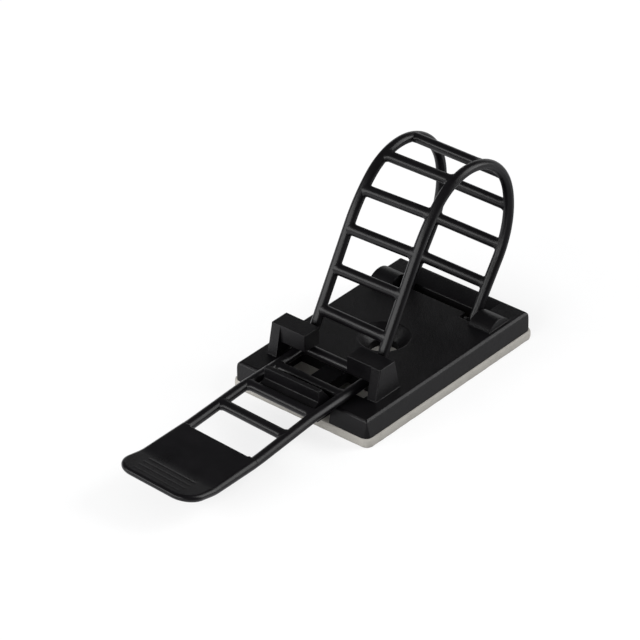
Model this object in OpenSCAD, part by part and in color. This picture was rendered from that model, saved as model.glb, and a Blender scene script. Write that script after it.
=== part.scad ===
// Self-adhesive cable tie mount with a reusable ladder strap.
// A moulded base carries two guide hooks and a sprung latch at the front and a
// pin hinge at the rear. A one-piece ladder strap stands on the hinge, loops
// over the cables, slides under the hooks and is held by a rung on the latch.
// X runs across the mount, Y from the strap tail (negative) to the hinge
// (positive), Z up. The origin is the centre of the adhesive face.

/* [Adhesive pad] */
// How far the foam pad reaches past the plate's foot at each side
pad_side_margin = 0.25; // [0.05:0.05:1]
// How far the foam pad reaches past the plate's foot at each end
pad_end_margin = 0.15; // [0.05:0.05:1]
// Thickness of the foam pad
pad_t = 1; // [0.5:0.1:2]
// Corner radius of the foam pad
pad_corner_r = 0.8; // [0.3:0.1:1.5]

/* [Base plate] */
// Width of the plate at its foot
base_w = 17.6; // [17.2:0.1:20]
// Length of the plate at its foot
base_l = 26.9; // [26.4:0.1:30]
// Thickness of the plate
base_t = 2.1; // [2:0.1:3]
// How far each side leans in from foot to top
side_draft = 0.3; // [0.1:0.05:0.5]
// Radius of the upright corners
base_corner_r = 0.8; // [0.4:0.1:1.5]
// Width of the bevel that breaks the top edge
edge_break = 0.2; // [0.1:0.05:0.3]

/* [Screw hole] */
// Diameter of the screw hole
screw_d = 3; // [2.5:0.1:3.4]
// Diameter of the countersink at the top face
sink_d = 5.6; // [4.8:0.1:6]
// Depth of the countersink
sink_depth = 1.3; // [0.8:0.1:1.6]

/* [Ladder strap] */
// Distance between the centres of the two rails
rail_gauge = 8.84; // [8.6:0.02:9]
// Diameter of a rail
rail_d = 1.08; // [0.9:0.02:1.2]
// Diameter of a rung
rung_d = 1; // [0.8:0.02:1.06]
// Distance from one rung to the next along the strap
rung_pitch = 4.42; // [4.2:0.02:4.6]
// Heading of the rear leg where it leaves the hinge, in degrees
rear_heading = 55.6; // [52:0.2:60]
// Length of the straight part of the rear leg
rear_leg = 7.4; // [6.4:0.1:8.4]
// Radius of the rear shoulder of the loop
rear_r = 9.8; // [9:0.1:10.6]
// Turn of the rear shoulder, in degrees
rear_turn = 46.5; // [44:0.5:50]
// Turn of the crown, in degrees
crown_turn = 121; // [118:0.5:124]
// Radius of the front shoulder of the loop
front_r = 17.6; // [16:0.1:19]
// Turn of the front shoulder, in degrees
front_turn = 17.1; // [16:0.1:18]
// Radius of the bend that lays the strap flat behind the hooks
bend_r = 1.5; // [1.4:0.1:1.8]

/* [Strap tail] */
// Radius of the two gentle bends between which the free tail droops
droop_r = 20; // [10:1:40]
// Angle at which the free tail droops, in degrees
droop_turn = 4; // [2:0.5:6]
// Length of the solid pull tab
tab_l = 10.2; // [9.4:0.1:12]
// Thickness of the pull tab
tab_t = 1; // [0.9:0.02:1.04]
// Length of the last opening, between the end rung and the tab
tab_gap = 4.6; // [3.6:0.1:5]
// Length of the level part of the tab, before the lip
tab_flat_l = 5.4; // [4.6:0.1:5.6]
// Radius of the bend where the lip turns up
lip_r = 6; // [4:0.5:8]
// Angle of the lip at the end of the tab, in degrees
lip_turn = 11.5; // [8:0.5:14]
// Radius of the tab's two front corners
tab_corner_r = 2.3; // [1.5:0.1:3.5]
// Number of grip ridges across the tab
grip_count = 4; // [2:1:5]
// Distance from one grip ridge to the next
grip_pitch = 0.8; // [0.6:0.05:0.9]
// Length of a grip ridge
grip_l = 6.4; // [4:0.1:7]

/* [Hinge] */
// Distance from the rear edge of the top face to the hinge pin
hinge_setback = 4.25; // [4:0.05:4.5]
// Diameter of the hinge pin
pin_d = 1.2; // [1:0.05:1.3]
// Overall length of the hinge pin
pin_l = 14.6; // [13.6:0.1:14.8]
// Diameter of the eyes where the rails meet the pin
eye_d = 1.5; // [1.4:0.05:1.6]
// Length of the window behind the pin
window_l = 1.8; // [1.6:0.1:2]
// Radius of the half-round barrels over the pin
barrel_r = 2.1; // [1.9:0.05:2.3]
// Distance over the outer ends of the two barrels
barrel_span = 16; // [15.6:0.1:16.4]
// Wall left at the blind end of a barrel
barrel_end_wall = 0.5; // [0.3:0.1:0.7]
// Height of the pin's centre above the foot of the plate
pin_rise = 0.9; // [0.85:0.05:1]
// Length of the sloping clearance ramp behind the hinge window
ramp_l = 1.9; // [1.4:0.1:2]
// Depth of the ramp at the window
ramp_drop = 0.6; // [0.3:0.1:0.9]

/* [Guide hooks] */
// Distance from the front of the top face to the foot of the hooks
hook_setback = 3.05; // [2.8:0.05:3.3]
// Depth of a hook at its foot
hook_foot = 3.9; // [3.6:0.1:4.4]
// How far the front of a post leans back over its height
hook_front_lean = 0.75; // [0.4:0.05:0.9]
// How far the rear of a post leans forward over its height
hook_rear_lean = 0.85; // [0.4:0.05:0.9]
// Height of the hooks above the top face
hook_h = 3.5; // [3.2:0.1:4]
// Width over the outer faces of the two hooks
hook_span = 14.3; // [14:0.1:14.8]
// Thickness of a hook post
post_t = 1.2; // [1:0.05:1.3]
// Opening between the ends of the two arms
arm_gap = 5.5; // [4.8:0.1:6.2]

/* [Latch] */
// Width of the latch tongue in its notch
tongue_w = 7.2; // [6.8:0.1:7.3]
// Thickness of the latch tongue
tongue_t = 1.4; // [1:0.05:1.6]
// Width of the bending neck between the two core holes
neck_w = 2.4; // [2:0.1:3]
// Height of the tooth above the top face
tooth_h = 2.2; // [1.8:0.1:2.4]
// Length of the flat crest of the tooth
tooth_crest = 0.55; // [0.3:0.05:0.8]
// How far the tooth stands in front of the top face of the plate
tooth_reach = 1.6; // [1.4:0.05:1.8]
// Length of the ramp that lifts the rungs over the tooth
tooth_ramp = 1.7; // [1.2:0.05:1.8]
// Length of the nose in front of the tooth
nose_l = 0.95; // [0.6:0.05:1.1]
// Height of the nose's tip above the top face
nose_tip_h = 0.4; // [0.2:0.05:0.6]
// Height above the top face where the nose meets the tooth
nose_root_h = 0.95; // [0.7:0.05:1.2]
// How far the underside of the nose leans back
nose_undercut = 0.8; // [0.5:0.05:1]

/* [Fits] */
// Clearance round the hinge pin
pin_clearance = 0.1; // [0.05:0.05:0.15]
// Clearance beside the strap in the hinge window
side_clearance = 0.3; // [0.2:0.05:0.4]
// Clearance under the rails where they lie on the plate
slide_clearance = 0.02; // [0.01:0.01:0.05]
// Room over the rails under the hook arms
arm_room = 0.4; // [0.3:0.05:0.5]
// Clearance between the bent strap and the rear edge of an arm
arm_clearance = 0.16; // [0.1:0.02:0.2]
// Clearance of the latch tongue in its notch
tongue_clearance = 0.2; // [0.15:0.05:0.3]
// Slack between the held rung and the nose of the tongue
latch_slack = 0.1; // [0.05:0.05:0.2]
// How far the core hole stands clear of the posts
core_clearance = 0.35; // [0.2:0.05:0.4]

/* [Hidden] */
$fn = 48;
eps = 0.01;

pad_w = base_w + 2 * pad_side_margin;
pad_l = base_l + 2 * pad_end_margin;
plate_top = pad_t + base_t;
top_w = base_w - 2 * side_draft;
top_l = base_l - 2 * side_draft;
top_front = -top_l / 2;
top_rear = top_l / 2;

rail_r = rail_d / 2;
rail_x = rail_gauge / 2;
strap_half_w = rail_x + rail_r;
slide_z = plate_top + slide_clearance + rail_r;

hinge_y = top_rear - hinge_setback;
hinge_z = pad_t + pin_rise;
channel_r = pin_d / 2 + pin_clearance;
window_half_w = strap_half_w + side_clearance;
ramp_y = hinge_y + window_l;

tooth_front = top_front - tooth_reach;
nose_tip = tooth_front - nose_l;
held_rung_y = nose_tip - latch_slack - rung_d / 2;

hook_front = top_front + hook_setback;
hook_rear = hook_front + hook_foot;
hook_top = plate_top + hook_h;
arm_front = hook_front + hook_front_lean;
arm_rear = hook_rear - hook_rear_lean;
arm_bottom = slide_z + rail_r + arm_room;
// The bend passes the rear edge of the arms with the clearance that is set.
bend_inner_r = bend_r - rail_r;
bend_setback = sqrt(pow(bend_inner_r - arm_clearance, 2) - pow(bend_inner_r - arm_room, 2));
bend_end_y = arm_rear - bend_setback;

function heading_vector(a) = [cos(a), sin(a)];
function left_of(a) = [-sin(a), cos(a)];
// Where an arc leg ends, seen from where it starts
function arc_step(a, leg) = sign(leg[1]) * leg[0] * (left_of(a) - left_of(a + leg[1]));
// The strap's centre line in the Y-Z plane is a chain of legs. Each leg is
// [length] for a straight one or [radius, turn] for an arc, and a negative turn
// bends to the right. The crown's radius and the front leg's length are what it
// takes to join the hinge to the slide under the hooks.
crown_heading = rear_heading + rear_turn;
front_heading = crown_heading + crown_turn + front_turn;
bend_turn = 180 - front_heading;
front_dir = heading_vector(front_heading);
crown_unit = arc_step(crown_heading, [1, crown_turn]);
to_close = [bend_end_y, slide_z] - [hinge_y, hinge_z]
    - rear_leg * heading_vector(rear_heading)
    - arc_step(rear_heading, [rear_r, rear_turn])
    - arc_step(crown_heading + crown_turn, [front_r, front_turn])
    - arc_step(front_heading, [bend_r, bend_turn]);
unit_cross = cross(crown_unit, front_dir);
crown_r = cross(to_close, front_dir) / unit_cross;
front_leg = cross(crown_unit, to_close) / unit_cross;
slide_leg = bend_end_y - held_rung_y;
// Past the rung that the latch holds, the tail droops and then levels out into
// the tab. The rails run on along both sides of its level part, into the lip.
droop_arc = droop_r * droop_turn * PI / 180;
tail_leg = rung_pitch + rung_d / 2 + tab_gap - 2 * droop_arc;
lip_overlap = 0.3;

strap_legs = [
    [rear_leg],
    [rear_r, rear_turn],
    [crown_r, crown_turn],
    [front_r, front_turn],
    [front_leg],
    [bend_r, bend_turn],
    [slide_leg],
    [droop_r, droop_turn],
    [tail_leg],
    [droop_r, -droop_turn],
    [tab_flat_l + lip_overlap]
];
drooping_legs = 4;

function is_arc(leg) = len(leg) == 2;
function leg_length(leg) = is_arc(leg) ? leg[0] * abs(leg[1]) * PI / 180 : leg[0];
function leg_turn(leg) = is_arc(leg) ? leg[1] : 0;
function leg_step(a, leg) = is_arc(leg) ? arc_step(a, leg) : leg[0] * heading_vector(a);
// Start point and heading of leg i, worked out from the hinge
function leg_start(i) =
    i == 0 ? [hinge_y, hinge_z, rear_heading]
    : let (p = leg_start(i - 1), step = leg_step(p[2], strap_legs[i - 1]))
      [p[0] + step[0], p[1] + step[1], p[2] + leg_turn(strap_legs[i - 1])];
function path_length(n) = n == 0 ? 0 : leg_length(strap_legs[n - 1]) + path_length(n - 1);
// The part of a leg from its start to a distance s along it
function cut_leg(leg, s) = is_arc(leg) ? [leg[0], leg[1] * s / leg_length(leg)] : [s];
// The point at a distance s along the strap from the hinge
function strap_point(s, i = 0) =
    let (long = leg_length(strap_legs[i]))
    s > long && i < len(strap_legs) - 1 ? strap_point(s - long, i + 1)
    : let (p = leg_start(i)) [p[0], p[1]] + leg_step(p[2], cut_leg(strap_legs[i], s));

// The rung that the latch holds lies where the droop starts.
held_rung_s = path_length(len(strap_legs) - drooping_legs);
// The rungs are counted back from the one that the latch holds.
first_rung_gap = 0.7 * rung_pitch;
rung_steps = floor((held_rung_s - first_rung_gap) / rung_pitch);

tab_root = leg_start(len(strap_legs) - 1);
tab_root_y = tab_root[0];
tab_z = tab_root[1];
tab_tip_y = tab_root_y - tab_l;
lip_step = 0.02;
tab_half_w = strap_half_w + lip_step;
lip_y = tab_root_y - tab_flat_l;
lip_l = (tab_l - tab_flat_l - lip_r * sin(lip_turn)) / cos(lip_turn);
grip_h = 0.12;
grip_w = 0.3;
grip_margin = 0.9;
// A thin collar at each joint of the rails covers the ends of the two legs.
collar_step = 0.03;
collar_r = rail_r + collar_step;
collar_l = 0.3;
joint_trim = 0.04;

// Turns a shape drawn in the X-Y plane so that it lies in the Y-Z plane
module in_side_view() {
    rotate([90, 0, 90]) children();
}

// Extrudes a Y-Z outline across the mount, from x0 to x1
module across(x0, x1) {
    translate([x0, 0, 0]) in_side_view() linear_extrude(x1 - x0) children();
}

module rounded_rect(w, l, r) {
    union() {
        square([w - 2 * r, l], center = true);
        square([w, l - 2 * r], center = true);
        for (x = [-1, 1], y = [-1, 1]) {
            translate([x * (w / 2 - r), y * (l / 2 - r)]) circle(r);
        }
    }
}

module on_both_sides() {
    children();
    mirror([1, 0, 0]) children();
}

// Wedges that lean the sides of the plate in and break its top edge
module side_trim(half, along) {
    lean = atan2(side_draft, base_t);
    translate([half, 0, pad_t]) rotate([0, -lean, 0]) translate([0, -along, -1])
        cube([3, 2 * along, 3 * base_t]);
    translate([half - side_draft - edge_break, 0, plate_top]) rotate([0, 45, 0])
        translate([0, -along, 0]) cube([2, 2 * along, 2]);
}

module plate() {
    difference() {
        translate([0, 0, pad_t]) linear_extrude(base_t) rounded_rect(base_w, base_l, base_corner_r);
        for (a = [0, 180]) {
            rotate([0, 0, a]) side_trim(base_w / 2, base_l);
            rotate([0, 0, a + 90]) side_trim(base_l / 2, base_w);
        }
    }
}

// Half-round barrels that cover the two ends of the hinge pin
module barrels() {
    on_both_sides() intersection() {
        across(window_half_w, barrel_span / 2) translate([hinge_y, hinge_z]) circle(barrel_r);
        translate([0, hinge_y - barrel_r, pad_t])
            cube([barrel_span, 2 * barrel_r, 2 * barrel_r]);
    }
}

// Window behind the lip, side slots for the rails and the ramp behind them
module hinge_window() {
    slot_front = hinge_y - eye_d / 2 - side_clearance;
    slot_inner_x = rail_x - rail_r - side_clearance;
    translate([-window_half_w, hinge_y, pad_t - eps])
        cube([2 * window_half_w, ramp_y - hinge_y, base_t + 1]);
    on_both_sides() translate([slot_inner_x, slot_front, pad_t - eps])
        cube([window_half_w - slot_inner_x, hinge_y - slot_front + eps, base_t + 1]);
    across(-window_half_w, window_half_w) polygon([
        [ramp_y - eps, plate_top - ramp_drop],
        [ramp_y, plate_top - ramp_drop],
        [ramp_y + ramp_l, plate_top],
        [ramp_y + ramp_l, plate_top + 1],
        [ramp_y - eps, plate_top + 1]
    ]);
}

// Channel that takes the pin from below before the pad closes it
module pin_channel() {
    half = barrel_span / 2 - barrel_end_wall;
    across(-half, half) translate([hinge_y, hinge_z]) circle(channel_r);
    translate([-half, hinge_y - channel_r, pad_t - eps])
        cube([2 * half, 2 * channel_r, pin_rise + eps]);
}

module screw_hole() {
    translate([0, 0, pad_t - eps]) cylinder(h = base_t + 1, d = screw_d);
    translate([0, 0, plate_top - sink_depth])
        cylinder(h = sink_depth, d1 = screw_d, d2 = sink_d);
    translate([0, 0, plate_top - eps]) cylinder(h = 1, d = sink_d);
}

// One guide hook: a leaning post and an arm that reaches in over the rail
module hook() {
    outer_x = hook_span / 2;
    across(outer_x - post_t, outer_x) polygon([
        [hook_front, plate_top - eps],
        [hook_rear, plate_top - eps],
        [hook_rear, plate_top],
        [arm_rear, hook_top],
        [arm_front, hook_top],
        [hook_front, plate_top]
    ]);
    translate([arm_gap / 2, arm_front, arm_bottom])
        cube([outer_x - post_t / 2 - arm_gap / 2, arm_rear - arm_front, hook_top - arm_bottom]);
}

// Hole through the plate that frees the underside of the arms and the neck
module core_hole() {
    half = hook_span / 2 - post_t - core_clearance;
    translate([-half, hook_front - eps, pad_t - eps])
        cube([2 * half, hook_foot - core_clearance, base_t + 1]);
}

// Notch at the front that frees the head of the tongue
module notch() {
    half = tongue_w / 2 + tongue_clearance;
    translate([-half, top_front - 1, pad_t - eps])
        cube([2 * half, hook_setback + 1, base_t + 1]);
}

// Latch tongue: a neck across the core hole, a head in the notch and a tooth
module latch() {
    bottom = plate_top - tongue_t;
    crest = plate_top + tooth_h;
    head_rear = hook_front - tongue_clearance;
    translate([-neck_w / 2, head_rear - eps, bottom])
        cube([neck_w, hook_rear - head_rear, tongue_t]);
    across(-tongue_w / 2, tongue_w / 2) polygon([
        [nose_tip + nose_undercut, bottom],
        [nose_tip, plate_top],
        [nose_tip, plate_top + nose_tip_h],
        [tooth_front, plate_top + nose_root_h],
        [tooth_front, crest],
        [tooth_front + tooth_crest, crest],
        [tooth_front + tooth_crest + tooth_ramp, plate_top],
        [head_rear, plate_top],
        [head_rear, bottom]
    ]);
}

module base() {
    color("#1c1b1e") union() {
        difference() {
            union() {
                plate();
                barrels();
            }
            hinge_window();
            pin_channel();
            screw_hole();
            core_hole();
            notch();
        }
        on_both_sides() hook();
        latch();
    }
}

// One rail of the strap, leg after leg along the centre line
module rail() {
    for (i = [0:len(strap_legs) - 1]) {
        leg = strap_legs[i];
        p = leg_start(i);
        translate([0, p[0], p[1]]) in_side_view() rotate([0, 0, p[2]]) {
            if (is_arc(leg)) {
                trim = joint_trim / leg[0] * 180 / PI;
                turn = abs(leg[1]) - 2 * trim;
                start = leg[1] > 0 ? trim - 90 : 90 + leg[1] + trim;
                translate([0, sign(leg[1]) * leg[0]]) rotate([0, 0, start])
                    rotate_extrude(angle = turn) translate([leg[0], 0]) circle(rail_r);
            } else {
                translate([joint_trim, 0, 0]) rotate([0, 90, 0])
                    cylinder(h = leg[0] - 2 * joint_trim, r = rail_r);
            }
            if (i > 0) rotate([0, 90, 0]) cylinder(h = collar_l, r = collar_r, center = true);
        }
    }
}

module rung(s) {
    p = strap_point(s);
    translate([-rail_x, p[0], p[1]]) rotate([0, 90, 0]) cylinder(h = rail_gauge, d = rung_d);
}

module hinge_pin() {
    translate([0, hinge_y, hinge_z]) rotate([0, 90, 0]) {
        cylinder(h = pin_l, d = pin_d, center = true);
        for (x = [-rail_x, rail_x]) {
            translate([0, 0, x]) cylinder(h = rail_d, d = eye_d, center = true);
        }
    }
}

// Side outline of the pull tab: level, then turned up into a lip
module tab_profile() {
    half_t = tab_t / 2;
    spare_l = tab_t;
    translate([lip_y, tab_z - half_t]) square([tab_flat_l, tab_t]);
    translate([lip_y, tab_z + lip_r]) {
        intersection() {
            difference() {
                circle(lip_r + half_t);
                circle(lip_r - half_t);
            }
            polygon([
                [0, 0],
                2 * lip_r * heading_vector(-90 - lip_turn),
                [0, -2 * lip_r]
            ]);
        }
        rotate([0, 0, -lip_turn]) translate([-lip_l - spare_l, -lip_r - half_t])
            square([lip_l + spare_l, tab_t]);
    }
}

// Outline of the tab from above: the lip is as wide as the strap, and the level
// part lies between the rails
module tab_outline() {
    lip_mid_y = (lip_y + tab_tip_y) / 2;
    union() {
        translate([0, lip_mid_y]) rounded_rect(2 * tab_half_w, lip_y - tab_tip_y, tab_corner_r);
        translate([-tab_half_w, lip_mid_y]) square([2 * tab_half_w, lip_y - lip_mid_y]);
        translate([-rail_x, lip_mid_y]) square([rail_gauge, tab_root_y - lip_mid_y]);
    }
}

module tab() {
    intersection() {
        across(-tab_half_w, tab_half_w) tab_profile();
        linear_extrude(3 * plate_top) tab_outline();
    }
}

// Low ridges across the lip, counted from the tip
module grips() {
    for (i = [0:grip_count - 1]) {
        translate([0, lip_y, tab_z + lip_r]) rotate([-lip_turn, 0, 0])
            translate([-grip_l / 2, grip_margin + i * grip_pitch - lip_l, 0])
            translate([0, 0, tab_t / 2 + grip_h - grip_w / 2 - lip_r])
            rotate([0, 90, 0]) cylinder(h = grip_l, d = grip_w);
    }
}

module ladder_strap($fn = 36) {
    color("#242328") union() {
        for (x = [-rail_x, rail_x]) {
            translate([x, 0, 0]) rail();
        }
        for (i = [-1:rung_steps]) {
            rung(held_rung_s - i * rung_pitch);
        }
        hinge_pin();
        tab();
        grips();
    }
}

module adhesive_pad() {
    color("#b8b4ac") linear_extrude(pad_t) rounded_rect(pad_w, pad_l, pad_corner_r);
}

base();
ladder_strap();
adhesive_pad();
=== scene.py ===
import bmesh
import bpy
import numpy as np
from mathutils import Matrix, Vector


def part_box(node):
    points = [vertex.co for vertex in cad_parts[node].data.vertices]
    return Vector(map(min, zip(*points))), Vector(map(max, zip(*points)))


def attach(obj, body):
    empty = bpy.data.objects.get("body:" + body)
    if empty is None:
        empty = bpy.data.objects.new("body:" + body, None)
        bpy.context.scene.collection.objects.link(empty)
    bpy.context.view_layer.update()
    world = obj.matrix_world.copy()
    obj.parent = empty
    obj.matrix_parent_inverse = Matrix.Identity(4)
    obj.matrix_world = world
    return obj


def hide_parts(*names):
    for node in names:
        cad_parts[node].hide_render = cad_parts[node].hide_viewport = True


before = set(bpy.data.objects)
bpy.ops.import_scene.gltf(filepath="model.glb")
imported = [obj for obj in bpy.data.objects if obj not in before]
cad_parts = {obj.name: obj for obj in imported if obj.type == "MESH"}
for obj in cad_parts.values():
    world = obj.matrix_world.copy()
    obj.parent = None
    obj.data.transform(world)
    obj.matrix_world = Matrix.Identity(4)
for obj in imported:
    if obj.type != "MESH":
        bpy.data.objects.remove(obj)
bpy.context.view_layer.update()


# ---------------------------------------------------------------------------
# Adhesive pad: a die-cut slab of pale closed-cell foam tape, a little larger
# than the base. The cut sides show open cells and bulge very slightly where
# the slab was pressed on.
# ---------------------------------------------------------------------------

PAD_CORNER = 0.0008
PAD_WAVE = 0.00003
PAD_WAVE_TURNS = (0.83, 0.31)
PAD_STEP = 0.0005
FOAM_COLOUR = (0.37, 0.355, 0.325, 1.0)
# FOAM_DARK is painted shade in the foam's cell pits, and also the dark end of its faint mottle
FOAM_DARK = (0.27, 0.255, 0.23, 1.0)
FOAM_CELLS_PER_M, FOAM_MOTTLE_PER_M = 7500, 900


def mesh_object(name, points, faces, smooth=True):
    """A mesh object at the origin, from an (n, 3) array of points in metres and a list of faces."""
    mesh = bpy.data.meshes.new(name)
    mesh.from_pydata(points.tolist(), [], faces)
    mesh.update()
    mesh.polygons.foreach_set("use_smooth", [smooth] * len(mesh.polygons))
    piece = bpy.data.objects.new(name, mesh)
    bpy.context.scene.collection.objects.link(piece)
    return piece


def grid_faces(rows, cols, closed_rows=False, closed_cols=False):
    """Quads of a rows x cols grid of points. A closed direction joins its last line to its first.
    The corners of quad (r, c) are (r, c), (r, c + 1), (r + 1, c + 1) and (r + 1, c)."""
    r = np.arange(rows if closed_rows else rows - 1)[:, None]
    c = np.arange(cols if closed_cols else cols - 1)[None, :]
    r1, c1 = (r + 1) % rows, (c + 1) % cols
    corners = (r * cols + c, r * cols + c1, r1 * cols + c1, r1 * cols + c)
    return np.stack(np.broadcast_arrays(*corners), -1).reshape(-1, 4).tolist()


def rounded_outline(width, length, radius, steps=10):
    """Points round a rectangle with arcs for corners, anticlockwise: each arc is its centre +
    radius (cos t, sin t), with t over a quarter turn."""
    t = np.linspace(0, np.pi / 2, steps)
    corners = []
    for k, (sx, sy) in enumerate(((1, 1), (-1, 1), (-1, -1), (1, -1))):
        centre = np.array([sx * (width / 2 - radius), sy * (length / 2 - radius)])
        a = t + k * np.pi / 2
        corners.append(centre + radius * np.stack([np.cos(a), np.sin(a)], 1))
    return np.concatenate(corners)


def densify(outline, step):
    """Adds evenly spaced points along each straight run of a closed outline: start + (k / n) run, with
    k from 0 to n - 1 and n the steps in that run."""
    run = np.roll(outline, -1, 0) - outline
    n = np.maximum(1, np.ceil(np.linalg.norm(run, axis=1) / step)).astype(int)
    k = np.arange(n.sum()) - np.repeat(np.cumsum(n) - n, n)
    return np.repeat(outline, n, 0) + np.repeat(run, n, 0) * (k / np.repeat(n, n))[:, None]


def stacked_rings(name, rings):
    """A closed solid from rings of equal count, lofted in turn and capped at both ends."""
    rows, cols = len(rings), len(rings[0])
    faces = grid_faces(rows, cols, closed_cols=True)
    faces.append(list(range(cols))[::-1])
    faces.append(list(range((rows - 1) * cols, rows * cols)))
    return mesh_object(name, np.concatenate(rings), faces)


def material_nodes(name):
    """A new material with its node tree and its Principled shader."""
    material = bpy.data.materials.new(name)
    material.use_nodes = True
    tree = material.node_tree
    return material, tree, tree.nodes["Principled BSDF"]


def object_noise(tree, scale, detail=3.0, roughness=0.5, stretch=(1, 1, 1)):
    """Noise on Object coordinates. Scale is in cells per metre."""
    where = tree.nodes.new("ShaderNodeTexCoord")
    place = tree.nodes.new("ShaderNodeMapping")
    place.inputs["Scale"].default_value = stretch
    noise = tree.nodes.new("ShaderNodeTexNoise")
    noise.inputs["Scale"].default_value = scale
    noise.inputs["Detail"].default_value = detail
    noise.inputs["Roughness"].default_value = roughness
    tree.links.new(where.outputs["Object"], place.inputs["Vector"])
    tree.links.new(place.outputs["Vector"], noise.inputs["Vector"])
    return noise.outputs["Fac"]


def ramp(tree, value, stops):
    """A colour ramp with the given (position, colour) stops."""
    node = tree.nodes.new("ShaderNodeValToRGB")
    band = node.color_ramp
    while len(band.elements) < len(stops):
        band.elements.new(0.5)
    for element, (position, colour) in zip(band.elements, stops):
        element.position = position
        element.color = colour if len(colour) == 4 else (*colour, 1.0)
    tree.links.new(value, node.inputs["Fac"])
    return node.outputs["Color"]


def bump(tree, shader, heights):
    """Chains bump nodes, one for each (height, strength, distance), into the shader's normal."""
    normal = None
    for height, strength, distance in heights:
        node = tree.nodes.new("ShaderNodeBump")
        node.inputs["Strength"].default_value = strength
        node.inputs["Distance"].default_value = distance
        tree.links.new(height, node.inputs["Height"])
        if normal is not None:
            tree.links.new(normal, node.inputs["Normal"])
        normal = node.outputs["Normal"]
    tree.links.new(normal, shader.inputs["Normal"])


def foam_material():
    """Matt pale foam: fine cells as bump, with painted shade that darkens the cell pits, and a faint
    mottle.
    """
    material, tree, shader = material_nodes("pale_foam")
    cells = tree.nodes.new("ShaderNodeTexVoronoi")
    cells.inputs["Scale"].default_value = FOAM_CELLS_PER_M
    where = tree.nodes.new("ShaderNodeTexCoord")
    tree.links.new(where.outputs["Object"], cells.inputs["Vector"])
    mottle = object_noise(tree, FOAM_MOTTLE_PER_M, detail=4)
    mix = tree.nodes.new("ShaderNodeMath")
    mix.operation = "MULTIPLY_ADD"
    mix.inputs[1].default_value = 0.55
    tree.links.new(cells.outputs["Distance"], mix.inputs[0])
    tree.links.new(mottle, mix.inputs[2])
    # The cells' distance paints shade into their pits, towards FOAM_DARK; the mottle varies the tone at
    # random.
    colour = ramp(tree, mix.outputs[0], [(0.35, FOAM_DARK), (0.75, FOAM_COLOUR)])
    tree.links.new(colour, shader.inputs["Base Color"])
    shader.inputs["Roughness"].default_value = 0.9
    shader.inputs["Specular IOR Level"].default_value = 0.25
    bump(tree, shader, [(cells.outputs["Distance"], 0.5, 0.00004), (mottle, 0.3, 0.00006)])
    return material


pad_low, pad_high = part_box("adhesive_pad")
pad_size = np.array(pad_high) - np.array(pad_low)
# Each ring of the pad: its height as a share of the thickness, and how far it lies inside the box, in mm
PAD_LEVELS = (
    (0.0, 0.14), (0.04, 0.08), (0.2, 0.04), (0.5, 0.03), (0.8, 0.04), (0.96, 0.08), (1.0, 0.14)
)
pad_outline = densify(rounded_outline(pad_size[0], pad_size[1], PAD_CORNER), PAD_STEP)
pad_count = np.arange(len(pad_outline))
quick_turn, slow_turn = PAD_WAVE_TURNS
pad_wave = PAD_WAVE * np.abs(np.sin(pad_count * quick_turn) * np.sin(pad_count * slow_turn))
pad_rings = []
for level, inset in PAD_LEVELS:
    shrink = 1 - 2 * (inset / 1000 + pad_wave[:, None]) / pad_size[None, :2]
    height = np.full((len(pad_outline), 1), pad_low[2] + level * pad_size[2])
    pad_rings.append(np.hstack([pad_outline * shrink, height]))
foam_pad = stacked_rings("foam_pad", pad_rings)
foam_pad.data.materials.append(foam_material())
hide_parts("adhesive_pad")
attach(foam_pad, "root")


# ---------------------------------------------------------------------------
# Base: one satin black nylon moulding with the hooks, latch tongue, screw
# hole and hinge barrels. It drops from its mould with small rounds on every
# edge and a very fine spark texture on its faces.
# ---------------------------------------------------------------------------

EDGE_ROUND = 0.00009
# Points nearer than WELD are one point, and faces within FLAT_WITHIN of each other are one face.
WELD, FLAT_WITHIN = 1.5e-5, np.radians(0.6)
SHARP = np.radians(25)
ROUND_ABOVE = 0.00115
NYLON_BLACK = (0.0024, 0.0022, 0.0026, 1.0)
NYLON_BLACK_WORN = (0.0040, 0.0036, 0.0043, 1.0)
NYLON_SPECULAR = 0.18
GRAIN_PER_M, FLOW_PER_M = 9000, 450
GRAIN_HEIGHT, FLOW_HEIGHT = 0.00003, 0.00008


def nylon_material(name, grain, flow_depth, roughness, tint=1.0):
    """Satin black nylon: fine moulded grain, a soft flow mottle in the gloss, and a faint lift of
    colour."""
    material, tree, shader = material_nodes(name)
    fine = object_noise(tree, GRAIN_PER_M, detail=2)
    flow = object_noise(tree, FLOW_PER_M, detail=4, roughness=0.6)
    dark = tuple(v * tint for v in NYLON_BLACK[:3])
    light = tuple(v * tint for v in NYLON_BLACK_WORN[:3])
    tree.links.new(ramp(tree, flow, [(0.3, dark), (0.75, light)]), shader.inputs["Base Color"])
    low, high = roughness
    sheen = ramp(tree, flow, [(0.25, (low, low, low)), (0.8, (high, high, high))])
    tree.links.new(sheen, shader.inputs["Roughness"])
    shader.inputs["Specular IOR Level"].default_value = NYLON_SPECULAR
    bump(tree, shader, [(fine, grain, GRAIN_HEIGHT), (flow, flow_depth, FLOW_HEIGHT)])
    return material


def copy_of_node(name, node, sharp, above):
    """A merged copy of a CAD node's mesh, with its flat faces joined up. Its sharp edges that lie
    above a height are marked for rounding, and its other sharp edges stay crisp."""
    work = bmesh.new()
    work.from_mesh(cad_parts[node].data)
    bmesh.ops.remove_doubles(work, verts=work.verts, dist=WELD)
    bmesh.ops.dissolve_limit(
        work, angle_limit=FLAT_WITHIN, verts=work.verts, edges=work.edges, delimit={"NORMAL"}
    )
    marked = work.edges.layers.float.new("bevel_weight_edge")
    for edge in work.edges:
        crisp = edge.calc_face_angle(0) > sharp
        rounded = crisp and max(v.co.z for v in edge.verts) > above
        edge[marked] = float(rounded)
        edge.smooth = rounded or not crisp
    mesh = bpy.data.meshes.new(name)
    work.to_mesh(mesh)
    work.free()
    mesh.polygons.foreach_set("use_smooth", [True] * len(mesh.polygons))
    piece = bpy.data.objects.new(name, mesh)
    bpy.context.scene.collection.objects.link(piece)
    return piece


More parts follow.
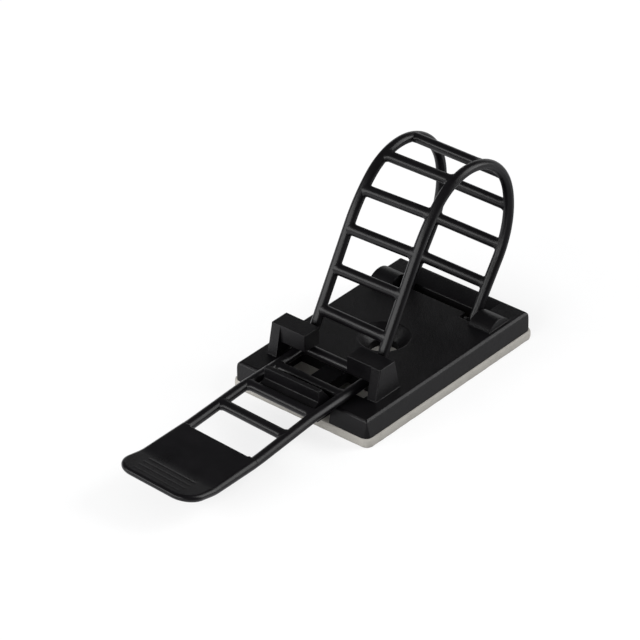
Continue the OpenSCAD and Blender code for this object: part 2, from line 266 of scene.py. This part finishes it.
mount_base = copy_of_node("mount_base", "base", sharp=SHARP, above=ROUND_ABOVE)
rounder = mount_base.modifiers.new("rounded edges", "BEVEL")
rounder.width = EDGE_ROUND
rounder.segments = 3
rounder.limit_method = "WEIGHT"
rounder.use_clamp_overlap = False
rounder.face_strength_mode = "FSTR_ALL"
flatter = mount_base.modifiers.new("flat faces", "WEIGHTED_NORMAL")
flatter.weight = 100
flatter.keep_sharp = True
flatter.use_face_influence = True
mount_base.data.materials.append(nylon_material("base_nylon", 0.8, 0.16, (0.32, 0.44)))
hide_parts("base")
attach(mount_base, "root")


# ---------------------------------------------------------------------------
# Ladder strap: one flexible nylon moulding. Two round rails and round rungs
# run from the hinge pin up over the loop, down under the hooks and out to a
# solid pull tab. Each rung widens a little where it grows out of a rail.
# ---------------------------------------------------------------------------

MM = 0.001
RAIL_X = 4.42
RAIL_R, RAIL_HALF_X, RAIL_INNER_R = 0.535, 0.575, 0.57
SEAM_DEPTH, SEAM_HALF = 0.03, np.radians(7)
# The groove fades out from SEAM_STOP + SEAM_FADE mm to SEAM_STOP mm before the tab, and the rail's last
# END_L mm shrink into it.
SEAM_STOP, SEAM_FADE = 0.8, 1.5
END_SHRINK, END_L = 0.06, 0.6
LOOP_Z = 4.2
RUNG_ALONG, RUNG_THICK = 0.61, 0.53
RUNG_PITCH = 4.42
RUNG_FLARE = 0.2
# A used strap is never quite true: how far each rung lies from its even place, in mm along the strap,
# at its middle and for each mm of x. Rungs are counted from the one in front of the held one.
RUNG_SLIP = [-0.2, 0, 0, 0, 0, -0.13, -0.05, 0.1, 0.26, 0.07, -0.16, -0.33, -0.38, -0.26]
RUNG_TILT = [0.01, 0, 0, 0, 0, -0.02, -0.027, -0.033, -0.02, 0, 0, 0, 0, 0]
PLATE_TOP = 3.1
SLIDE_Z = PLATE_TOP + 0.02 + RAIL_R
HINGE_Y, HINGE_Z = 8.9, 1.9
REAR_HEADING = 55.6
# The legs of the strap from the hinge on: (length, 0) is straight, and (radius, turn in degrees) is an
# arc.
LEGS = [
    (7.4, 0.0),
    (9.8, 46.5),
    (6.93958, 121.0),
    (17.6, 17.1),
    (12.31955, 0.0),
    (1.5, -60.2),
    (8.6787, 0.0),
    (20.0, 4.0),
    (6.72748, 0.0),
    (20.0, -4.0),
    (0.6, 0.0),
]
HELD_LEG = 7
TWIST_START_Y, TWIST_END_Y, TWIST = -12.0, -26.0, 0.045
PIN_R, PIN_HALF = 0.6, 7.3
EYE_R = 0.75


def leg_points(step):
    """The strap's centre line in the Y-Z plane. A straight leg is p + s (cos a, sin a). An arc of
    radius r turns the heading a by s / r as it goes, so its points are p + r (n(a) - n(a + s / r)), with
    n = (-sin, cos)."""
    point, heading, out = np.array([HINGE_Y, HINGE_Z]), np.radians(REAR_HEADING), []
    for size, turn in LEGS:
        t = np.radians(turn)
        length = size * abs(t) if turn else size
        s = np.linspace(0, 1, max(3, int(length / step)) + 1)[:, None]
        if turn:
            side = np.sign(t) * size
            n0 = np.array([-np.sin(heading), np.cos(heading)])
            a = heading + t * s
            run = point + side * (n0 - np.hstack([-np.sin(a), np.cos(a)]))
        else:
            run = point + size * s * np.array([np.cos(heading), np.sin(heading)])
        out.append(run[:-1])
        point, heading = run[-1], heading + t
    out.append(point[None, :])
    return np.concatenate(out)


def even_path(points, step):
    """The same line with points an even distance apart, and that distance along it."""
    gap = np.r_[0, np.cumsum(np.linalg.norm(np.diff(points, axis=0), axis=1))]
    s = np.linspace(0, gap[-1], int(gap[-1] / step) + 1)
    return np.stack([np.interp(s, gap, points[:, k]) for k in range(2)], 1), s


def headings(path):
    """Unit tangents of a line of points."""
    d = np.gradient(path, axis=0)
    return d / np.linalg.norm(d, axis=1, keepdims=True)


strap_path, strap_s = even_path(leg_points(0.05), 0.2)
strap_dir = headings(strap_path)
held_s = sum(size * np.radians(abs(turn)) if turn else size for size, turn in LEGS[:HELD_LEG])


def at_distance(s):
    """Points and tangents of the centre line at distances s from the hinge."""
    p = np.stack([np.interp(s, strap_s, strap_path[:, k]) for k in range(2)], -1)
    d = np.stack([np.interp(s, strap_s, strap_dir[:, k]) for k in range(2)], -1)
    return p, d / np.linalg.norm(d, axis=-1, keepdims=True)


def tube(path, direction, x, sides=44):
    """A rail: path + g(t) (RAIL_HALF_X cos t X + r sin t n), where n is the line's normal in the Y-Z
    plane and r is RAIL_R, or RAIL_INNER_R on the inner side of the loop. The mould's parting line is a
    fine groove along both sides: g(t) = 1 - depth exp(-(a / w)^2), with a the angle from the side."""
    t = np.linspace(0, 2 * np.pi, sides, endpoint=False)
    t = t - 0.35 * np.sin(2 * t)
    from_side = np.minimum(np.abs(np.sin(t)), 1)
    to_end = np.linalg.norm(path - path[-1], axis=1)[:, None]
    groove = SEAM_DEPTH * np.clip((to_end - SEAM_STOP) / SEAM_FADE, 0, 1)
    sunk = END_SHRINK * np.clip(1 - to_end / END_L, 0, 1)
    g = (1 - sunk) * (1 - groove * np.exp(-((np.arcsin(from_side) / SEAM_HALF) ** 2))[None, :])
    in_loop = np.clip(path[:, 1:] - LOOP_Z, 0, 1) * (np.sin(t) > 0)
    r = RAIL_R + (RAIL_INNER_R - RAIL_R) * in_loop
    n = np.stack([-direction[:, 1], direction[:, 0]], 1)
    px = x + RAIL_HALF_X * g * np.cos(t)[None, :]
    yz = path[:, None, :] + (r * g * np.sin(t)[None, :])[..., None] * n[:, None, :]
    points = np.concatenate([px[..., None], yz], 2).reshape(-1, 3)
    rows = len(path)
    faces = [f[::-1] for f in grid_faces(rows, sides, closed_cols=True)]
    faces.append(list(range(sides)))
    faces.append(list(range((rows - 1) * sides, rows * sides))[::-1])
    return points, faces


def rung(s, tilt, sides=28, steps=40):
    """A rung: across x its half-thickness stays RUNG_THICK, and its half-width along the strap grows
    towards each rail as RUNG_ALONG + RUNG_FLARE (1 - cos q), where q runs round a quarter fillet. Its
    middle line lies at the distance s + tilt x."""
    u = np.linspace(-1, 1, steps)
    x = RAIL_X * np.sign(u) * (1 - (1 - np.abs(u)) ** 1.6)
    p, d = at_distance(s + tilt * x)
    n = np.stack([-d[:, 1], d[:, 0]], 1)
    into = np.clip((np.abs(x) - (RAIL_X - RAIL_HALF_X - RUNG_FLARE)) / RUNG_FLARE, 0, 1)
    flare = RUNG_FLARE * (1 - np.sqrt(np.clip(1 - into**2, 0, 1)))
    half = RUNG_ALONG + flare
    t = np.linspace(0, 2 * np.pi, sides, endpoint=False)
    along = half[:, None] * np.cos(t)[None, :]
    out = RUNG_THICK * np.sin(t)[None, :] + 0 * along
    yz = p[:, None] + along[..., None] * d[:, None] + out[..., None] * n[:, None]
    px = np.broadcast_to(x[:, None, None], along.shape + (1,))
    points = np.concatenate([px, yz], 2).reshape(-1, 3)
    faces = grid_faces(steps, sides, closed_cols=True)
    faces.append(list(range(sides))[::-1])
    faces.append(list(range((steps - 1) * sides, steps * sides)))
    return points, faces


def turned_pin(profile, y, z, sides=32):
    """A round bar along X from (x, radius) stations."""
    profile = np.array(profile)
    t = np.linspace(0, 2 * np.pi, sides, endpoint=False)
    x = np.broadcast_to(profile[:, :1], (len(profile), sides))
    py = y + profile[:, 1:] * np.cos(t)
    pz = z + profile[:, 1:] * np.sin(t)
    points = np.stack([x, py, pz], 2).reshape(-1, 3)
    rows = len(profile)
    faces = grid_faces(rows, sides, closed_cols=True)
    faces.append(list(range(sides))[::-1])
    faces.append(list(range((rows - 1) * sides, rows * sides)))
    return points, faces


def joined(parts):
    """Several (points, faces) lists as one."""
    points, faces, start = [], [], 0
    for p, f in parts:
        points.append(p)
        faces += [[i + start for i in face] for face in f]
        start += len(p)
    return np.concatenate(points), faces


strap_parts = [tube(strap_path, strap_dir, x) for x in (-RAIL_X, RAIL_X)]
strap_parts += [
    rung(held_s - (k - 1) * RUNG_PITCH + slip, tilt)
    for k, (slip, tilt) in enumerate(zip(RUNG_SLIP, RUNG_TILT))
]
pin_profile = [(-PIN_HALF, 0.42), (-PIN_HALF + 0.12, PIN_R - 0.04), (-PIN_HALF + 0.2, PIN_R)]
for side in (-1, 1):
    eye = [(-0.54, 0.6), (-0.5, 0.72), (-0.42, EYE_R), (0.42, EYE_R), (0.5, 0.72), (0.54, 0.6)]
    pin_profile += [(side * RAIL_X + dx, r) for dx, r in eye]
pin_profile += [(PIN_HALF - 0.2, PIN_R), (PIN_HALF - 0.12, PIN_R - 0.04), (PIN_HALF, 0.42)]
strap_parts.append(turned_pin(pin_profile, HINGE_Y, HINGE_Z))

# Pull tab: a level paddle as thick as the rails, then a lip that bends up, with low grip ridges.
TAB_L, TAB_FLAT_L = 10.27, 5.4
TAB_HALF = RAIL_X + RAIL_HALF_X
TAB_T, TAB_T_TIP = 2 * RAIL_R, 0.66
TAB_CORNER = 2.3
LIP_R, LIP_TURN = 6.0, np.radians(11.5)
ROOT_FLARE = 0.15
# Each grip ridge: its distance from the tip and its height. The inner one stands up most.
RIDGES = ((0.9, 0.007), (1.7, 0.01), (2.5, 0.012), (3.3, 0.02))
RIDGE_HALF, RIDGE_W = 3.1, 0.15
TAB_LINES = 150
TAB_ROOT = strap_path[-1] - np.array([-LEGS[-1][0], 0])


def tab_middle(u):
    """Middle line of the tab at u mm from its root, as (y, z) and its normal: level, then an arc of
    radius LIP_R through LIP_TURN, then straight."""
    a = np.clip((u - TAB_FLAT_L) / LIP_R, 0, LIP_TURN)
    rest = np.clip(u - TAB_FLAT_L - LIP_R * LIP_TURN, 0, None)
    y = TAB_ROOT[0] - np.minimum(u, TAB_FLAT_L) - LIP_R * np.sin(a) - rest * np.cos(LIP_TURN)
    z = TAB_ROOT[1] + LIP_R * (1 - np.cos(a)) + rest * np.sin(LIP_TURN)
    return y, z, np.sin(a), np.cos(a)


def tab_mesh():
    """A skin over a grid of (u, v): u runs from root to tip and v across. The top and the underside
    stand off the middle surface by t / 2 sqrt(1 - (1 - d / e)^2), with d the distance to the outline
    and e = t / 2, which makes a full round edge. The grid's lines draw together towards the rim."""
    q = np.sin(np.linspace(-np.pi / 2, np.pi / 2, TAB_LINES))
    v = 0.4 * np.linspace(-1, 1, TAB_LINES) + 0.6 * q
    w = np.linspace(0, 1, TAB_LINES)
    u_line = TAB_L * (0.45 * w + 0.55 * np.sin(w * np.pi / 2))
    into = np.clip((u_line - (TAB_L - TAB_CORNER)) / TAB_CORNER, 0, 1)
    half = TAB_HALF - TAB_CORNER * (1 - np.sqrt(np.clip(1 - into**2, 0, 1)))
    x = v[None, :] * half[:, None]
    inner = np.clip((np.abs(x) - (RAIL_X - RAIL_HALF_X - ROOT_FLARE)) / ROOT_FLARE, 0, 1)
    flare = ROOT_FLARE * (1 - np.sqrt(np.clip(1 - inner**2, 0, 1)))
    u = u_line[:, None] - flare * (1 - w[:, None]) ** 6
    thick = TAB_T + (TAB_T_TIP - TAB_T) * np.clip(u / TAB_L, 0, 1) ** 2
    past_x, past_u = np.abs(x) - (TAB_HALF - TAB_CORNER), u - (TAB_L - TAB_CORNER)
    straight = np.minimum(TAB_HALF - np.abs(x), TAB_L - u)
    round_corner = TAB_CORNER - np.hypot(np.maximum(past_x, 0), np.maximum(past_u, 0))
    edge = np.where((past_x > 0) & (past_u > 0), round_corner, straight)
    crown = np.sqrt(np.clip(1 - np.clip(1 - edge / (thick / 2), 0, 1) ** 2, 0, 1))
    ridge = np.zeros_like(u)
    for r, height in RIDGES:
        across = np.clip((RIDGE_HALF - np.abs(x)) / 0.12, 0, 1)
        ridge += height * across * np.exp(-(((TAB_L - u - r) / RIDGE_W) ** 2) * 2)
    y, z, ny, nz = tab_middle(u)
    up = crown * thick / 2
    skins = [np.stack([x, y + ny * h, z + nz * h], 2).reshape(-1, 3) for h in (up + ridge, -up)]
    rows, cols = u.shape
    upper = grid_faces(rows, cols)
    lower = [[i + rows * cols for i in f[::-1]] for f in upper]
    root = [[i, i + rows * cols, i + 1 + rows * cols, i + 1] for i in range(cols - 1)]
    return np.concatenate(skins), upper + lower + root


strap_parts.append(tab_mesh())
points, faces = joined(strap_parts)
twist = TWIST * np.clip((TWIST_START_Y - points[:, 1]) / (TWIST_START_Y - TWIST_END_Y), 0, 1)
points[:, 2] -= twist * points[:, 0]
ladder = mesh_object("strap_ladder", points * MM, faces)
work = bmesh.new()
work.from_mesh(ladder.data)
bmesh.ops.remove_doubles(work, verts=work.verts, dist=1e-6)
bmesh.ops.recalc_face_normals(work, faces=work.faces)
work.to_mesh(ladder.data)
work.free()
ladder.data.materials.append(nylon_material("strap_nylon", 0.25, 0.05, (0.26, 0.36), tint=1.3))
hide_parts("ladder_strap")
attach(ladder, "root")


# ---------------------------------------------------------------------------
# The setting: a plain pale table, soft boxes round it and the camera. The world is white to the camera
# alone, and dim above, so that dark upward faces stay dark while upright ones pick up the pale table and
# a painted pool of light that glows on it in gloss alone.
# ---------------------------------------------------------------------------

FLOOR_SIZE, FLOOR_GAP = 3.0, 0.00002
LAMP_DISTANCE = 0.6
AZIMUTH, ELEVATION, ROLL = np.radians([40.06, 32.72, -0.19])
TARGET = np.array([0.0, 1.19, 0.0]) * MM
DISTANCE = 435.285 * MM
SHIFT_RIGHT, SHIFT_UP = 7.3525 * MM, -3.7825 * MM
LENS = 237.15
TABLE_COLOUR = (0.55, 0.55, 0.56, 1)
TABLE_SHOWN_WHITE = 0.75
# Gloss sees a painted pool of light on the table, a glow that no lamp casts, which grows towards the
# front left: its slope per metre, the span of that slope's value over which it grows, its two strengths,
# and its share over the table's own shader. With that share the second strength counts as 1.25, where 1
# is white.
POOL_SLOPE = (-12, -12, 0)
POOL_SPAN = (0.1, 0.4)
POOL_GLOW = (0.7, 2.5)
POOL_SHARE = 0.5
WORLD_COLOUR = (0.97, 0.98, 1.0, 1)
WORLD_LIT, WORLD_IN_GLOSS = 0.35, 0.12

floor_corners = np.array([[-1, -1, 0], [1, -1, 0], [1, 1, 0], [-1, 1, 0]]) * FLOOR_SIZE / 2
floor = mesh_object("floor", floor_corners - [0, 0, FLOOR_GAP], [[0, 1, 2, 3]], smooth=False)
floor_material, tree, shader = material_nodes("pale_table")
shader.inputs["Base Color"].default_value = TABLE_COLOUR
shader.inputs["Roughness"].default_value = 0.3
shader.inputs["Specular IOR Level"].default_value = 0.3


def mixed(tree, share, first, second):
    """A mix of two shaders. The share is a number, or the output of a node."""
    node = tree.nodes.new("ShaderNodeMixShader")
    if isinstance(share, float):
        node.inputs["Fac"].default_value = share
    else:
        tree.links.new(share, node.inputs["Fac"])
    tree.links.new(first, node.inputs[1])
    tree.links.new(second, node.inputs[2])
    return node.outputs["Shader"]


def plain_glow(tree, kind, colour, strength):
    """An even glow: an Emission shader for a surface, or a Background shader for the world."""
    node = tree.nodes.new(kind)
    node.inputs["Color"].default_value = colour
    node.inputs["Strength"].default_value = strength
    return node.outputs[0]


paper = tree.nodes.new("ShaderNodeBsdfDiffuse")
paper.inputs["Color"].default_value = (1, 1, 1, 1)
path = tree.nodes.new("ShaderNodeLightPath")
white = plain_glow(tree, "ShaderNodeEmission", (1, 1, 1, 1), 1.0)
# pale is the painted pool of light: a glow on the table seen only in gloss, whose strength grows towards
# the front left
pale = plain_glow(tree, "ShaderNodeEmission", (0.98, 0.98, 1, 1), 1.0)
where = tree.nodes.new("ShaderNodeTexCoord")
nearness = tree.nodes.new("ShaderNodeVectorMath")
nearness.operation = "DOT_PRODUCT"
nearness.inputs[1].default_value = POOL_SLOPE
pool = tree.nodes.new("ShaderNodeMapRange")
pool.inputs["From Min"].default_value, pool.inputs["From Max"].default_value = POOL_SPAN
pool.inputs["To Min"].default_value, pool.inputs["To Max"].default_value = POOL_GLOW
tree.links.new(where.outputs["Object"], nearness.inputs[0])
tree.links.new(nearness.outputs["Value"], pool.inputs["Value"])
tree.links.new(pool.outputs["Result"], pale.node.inputs["Strength"])
to_camera = mixed(tree, TABLE_SHOWN_WHITE, paper.outputs["BSDF"], white)
to_gloss = mixed(tree, POOL_SHARE, shader.outputs["BSDF"], pale)
others = mixed(tree, path.outputs["Is Glossy Ray"], shader.outputs["BSDF"], to_gloss)
surface = mixed(tree, path.outputs["Is Camera Ray"], others, to_camera)
tree.links.new(surface, tree.nodes["Material Output"].inputs["Surface"])
floor.data.materials.append(floor_material)

world = bpy.data.worlds.new("studio")
bpy.context.scene.world = world
world.use_nodes = True
tree = world.node_tree
tree.nodes.clear()
output = tree.nodes.new("ShaderNodeOutputWorld")
seen = plain_glow(tree, "ShaderNodeBackground", (1, 1, 1, 1), 1.0)
lit = plain_glow(tree, "ShaderNodeBackground", WORLD_COLOUR, WORLD_LIT)
dim = plain_glow(tree, "ShaderNodeBackground", WORLD_COLOUR, WORLD_IN_GLOSS)
path = tree.nodes.new("ShaderNodeLightPath")
around = mixed(tree, path.outputs["Is Glossy Ray"], lit, dim)
tree.links.new(mixed(tree, path.outputs["Is Camera Ray"], around, seen), output.inputs["Surface"])


def soft_box(name, azimuth, elevation, size, glow):
    """An area lamp that faces the object from an azimuth measured like the camera's. Its power is
    pi glow area, so glow is how bright the lamp itself looks, where 1 is white."""
    a, e = np.radians([azimuth, elevation])
    place = Vector((np.sin(a) * np.cos(e), -np.cos(a) * np.cos(e), np.sin(e))) * LAMP_DISTANCE
    lamp = bpy.data.lights.new(name, "AREA")
    lamp.shape = "RECTANGLE"
    lamp.size, lamp.size_y = size
    lamp.energy = np.pi * glow * size[0] * size[1]
    holder = bpy.data.objects.new(name, lamp)
    holder.location = place
    holder.rotation_euler = (-place).to_track_quat("-Z", "Y").to_euler()
    bpy.context.scene.collection.objects.link(holder)


soft_box("front_box", -15, 24, (1.0, 0.27), 6.5)
soft_box("right_rear_box", 138, 22, (0.32, 0.66), 6.0)
soft_box("left_rear_card", -150, 8, (0.7, 0.17), 0.85)

back = np.array(
    [np.sin(AZIMUTH) * np.cos(ELEVATION), -np.cos(AZIMUTH) * np.cos(ELEVATION), np.sin(ELEVATION)]
)
flat_right = np.array([np.cos(AZIMUTH), np.sin(AZIMUTH), 0.0])
flat_up = np.cross(back, flat_right)
right = np.cos(ROLL) * flat_right + np.sin(ROLL) * flat_up
up = -np.sin(ROLL) * flat_right + np.cos(ROLL) * flat_up
place = TARGET + back * DISTANCE - right * SHIFT_RIGHT - up * SHIFT_UP
camera_data = bpy.data.cameras.new("camera")
camera_data.lens = LENS
camera_data.sensor_width = 36
camera_data.clip_start = 0.01
camera = bpy.data.objects.new("camera", camera_data)
camera.matrix_world = Matrix(
    [[right[k], up[k], back[k], place[k]] for k in range(3)] + [[0, 0, 0, 1]]
)
bpy.context.scene.collection.objects.link(camera)
bpy.context.scene.camera = camera
bpy.context.scene.view_settings.view_transform = "Standard"
